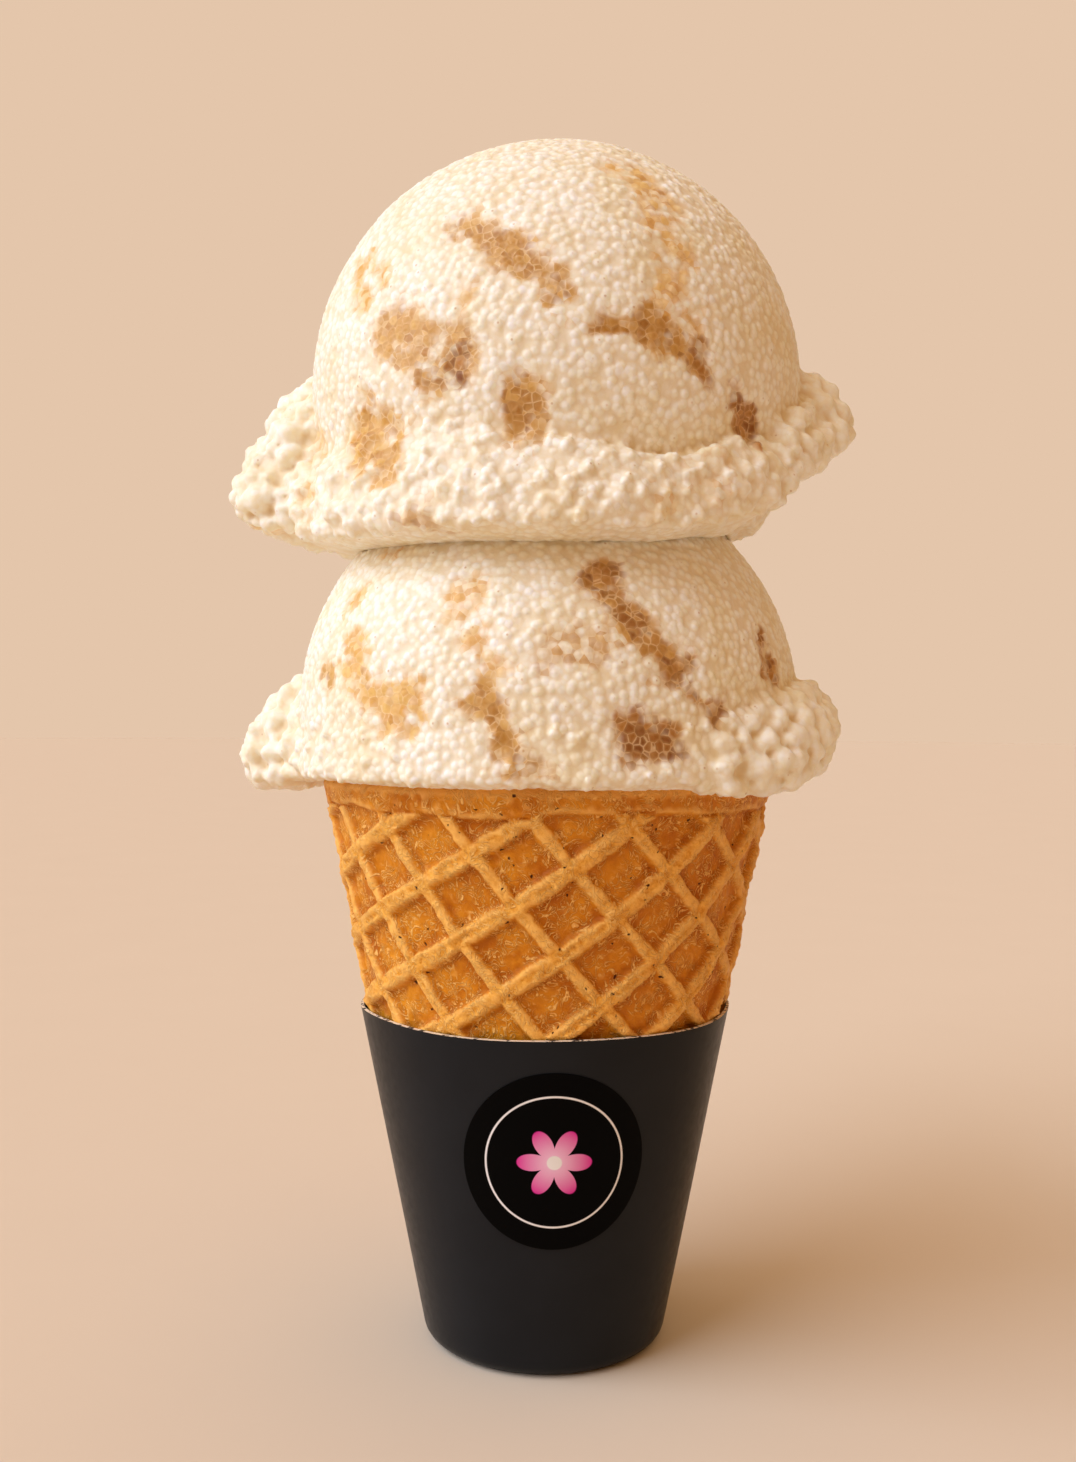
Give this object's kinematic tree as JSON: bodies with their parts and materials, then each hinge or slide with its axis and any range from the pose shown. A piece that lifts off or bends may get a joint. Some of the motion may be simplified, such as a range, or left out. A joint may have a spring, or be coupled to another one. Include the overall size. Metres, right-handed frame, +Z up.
{
  "type": "ice cream cone",
  "caption": "Stacked scoops of caramel ripple ice cream on a flat-footed rolled wafer cone that stands in a black card holder with a round sticker.",
  "frame": {"origin": "centre of the card holder's flat foot, at the surface that it stands on", "axes": "+Z up along the cone's axis, -Y towards the side with the sticker, +X to the right as seen from that side"},
  "size_m": [0.0837, 0.0691, 0.1572],
  "materials": {
    "holder_card": "satin black coated card with a pale raw cut edge",
    "label_paper": "matt black printed sticker",
    "wafer": "baked golden-brown wafer, dry and finely pitted",
    "ice_cream": "frozen cream grain with a wet sheen and tan caramel ripple"
  },
  "bodies": {
    "root": {"holder": "holder_card", "label": "label_paper", "wafer_cone": "wafer", "scoop_lower": "ice_cream", "scoop_upper": "ice_cream"}
  },
  "joints": []
}
